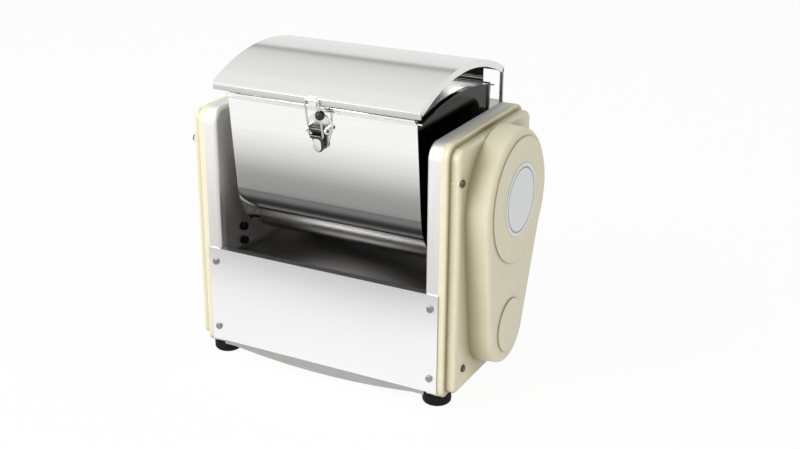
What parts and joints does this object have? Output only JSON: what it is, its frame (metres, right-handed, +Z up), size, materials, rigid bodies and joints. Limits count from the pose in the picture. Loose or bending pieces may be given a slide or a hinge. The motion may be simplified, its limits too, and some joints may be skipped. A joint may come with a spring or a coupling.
{
  "type": "dough kneading machine",
  "caption": "Small horizontal dough kneading machine: a tilting stainless drum under a hinged arched lid, between moulded side covers with a pear-shaped gear cover.",
  "frame": {"origin": "bottom centre of the whole machine, on the floor under the feet", "axes": "+X along the drum towards the gear cover, +Y to the back, +Z up"},
  "size_m": [0.3728, 0.234, 0.3685],
  "materials": {
    "stainless_sheet": "satin",
    "polished_stainless": "polished",
    "cream_moulding": "semi-gloss",
    "badge_white": "gloss",
    "black_rubber": "matte",
    "black_plastic": "satin",
    "rocker_plastic": "gloss",
    "steel_screws": "bright",
    "machined_steel": "machined",
    "cast_housing": "as cast",
    "motor_aluminium": "cast",
    "gear_nylon": "matte"
  },
  "bodies": {
    "frame": {"left_side_frame": "stainless_sheet", "right_side_frame": "stainless_sheet", "left_side_cover": "cream_moulding", "right_side_cover": "cream_moulding", "gear_cover": "cream_moulding", "cover_badge": "badge_white", "cover_screws": "steel_screws", "rubber_feet": "black_rubber", "foot_screws": "steel_screws", "bottom_pan": "stainless_sheet", "front_panel": "stainless_sheet", "rear_panel": "stainless_sheet", "panel_screws": "steel_screws", "motor_deck": "stainless_sheet", "tie_rods": "machined_steel", "tie_rod_screws": "steel_screws", "side_buffers": "black_rubber", "left_bearing_housing": "cast_housing", "right_bearing_housing": "cast_housing", "shaft_bearings": "machined_steel", "bearing_caps": "cast_housing", "housing_screws": "steel_screws", "idler_axle": "machined_steel", "motor_body": "motor_aluminium", "motor_end_bells": "motor_aluminium", "motor_flange": "motor_aluminium", "motor_screws": "steel_screws", "motor_cradle": "cast_housing", "motor_capacitor": "black_plastic", "capacitor_clip": "machined_steel", "hinge_blocks": "black_plastic", "hinge_screws": "steel_screws", "hinge_pins": "machined_steel", "cord_gland": "black_plastic", "gland_nut": "black_plastic", "switch_housing": "black_plastic"},
    "drum": {"drum_shell": "polished_stainless", "drum_left_end": "polished_stainless", "drum_right_end": "polished_stainless", "drum_hubs": "polished_stainless", "hub_screws": "steel_screws", "shaft_seals": "black_rubber", "latch_plate": "polished_stainless", "latch_pin": "machined_steel"},
    "lid": {"lid_shell": "stainless_sheet", "lid_hinge_ears": "stainless_sheet", "lid_keeper": "stainless_sheet"},
    "latch_lever": {"latch_lever": "polished_stainless"},
    "latch_bail": {"latch_bail": "polished_stainless", "latch_knob": "black_plastic"},
    "kneader": {"drive_shaft": "machined_steel", "idle_shaft": "machined_steel", "kneading_arm": "polished_stainless", "arm_pins": "machined_steel", "drive_gear": "gear_nylon"},
    "idler": {"idler_gear": "gear_nylon"},
    "rotor": {"motor_shaft": "machined_steel", "motor_pinion": "machined_steel"},
    "switch": {"switch_rocker": "rocker_plastic"}
  },
  "joints": [
    {"name": "drum_tilt", "type": "hinge", "parent": "frame", "child": "drum", "pos_m": [-0.0142, -0.00448, 0.225], "axis": [1, 0, 0], "range_deg": [0, 70]},
    {"name": "lid_hinge", "type": "hinge", "parent": "frame", "child": "lid", "pos_m": [-0.0142, 0.10852, 0.28], "axis": [-1, 0, 0], "range_deg": [0, 100]},
    {"name": "latch_lever_swing", "type": "hinge", "parent": "drum", "child": "latch_lever", "pos_m": [-0.0142, -0.10361, 0.30232], "axis": [-1, 0, 0], "range_deg": [0, 100]},
    {"name": "latch_bail_swing", "type": "hinge", "parent": "latch_lever", "child": "latch_bail", "pos_m": [-0.0142, -0.10586, 0.29504], "axis": [-1, 0, 0], "range_deg": [-120, 0]},
    {"name": "kneader_spin", "type": "hinge", "parent": "frame", "child": "kneader", "pos_m": [-0.0142, -0.00448, 0.225], "axis": [1, 0, 0], "continuous": true},
    {"name": "idler_spin", "type": "hinge", "parent": "frame", "child": "idler", "pos_m": [-0.0142, -0.01436, 0.13554], "axis": [1, 0, 0], "continuous": true},
    {"name": "rotor_spin", "type": "hinge", "parent": "frame", "child": "rotor", "pos_m": [-0.0142, -0.0205, 0.07988], "axis": [1, 0, 0], "continuous": true},
    {"name": "switch_rock", "type": "hinge", "parent": "frame", "child": "switch", "pos_m": [-0.1262, 0.09772, 0.16], "axis": [-1, 0, 0], "range_deg": [0, 18]}
  ],
  "couplings": [
    {"joint": "latch_bail_swing", "follows": "latch_lever_swing", "ratio": -1.2},
    {"joint": "idler_spin", "follows": "kneader_spin", "ratio": -4.1429},
    {"joint": "rotor_spin", "follows": "kneader_spin", "ratio": 15.19}
  ]
}
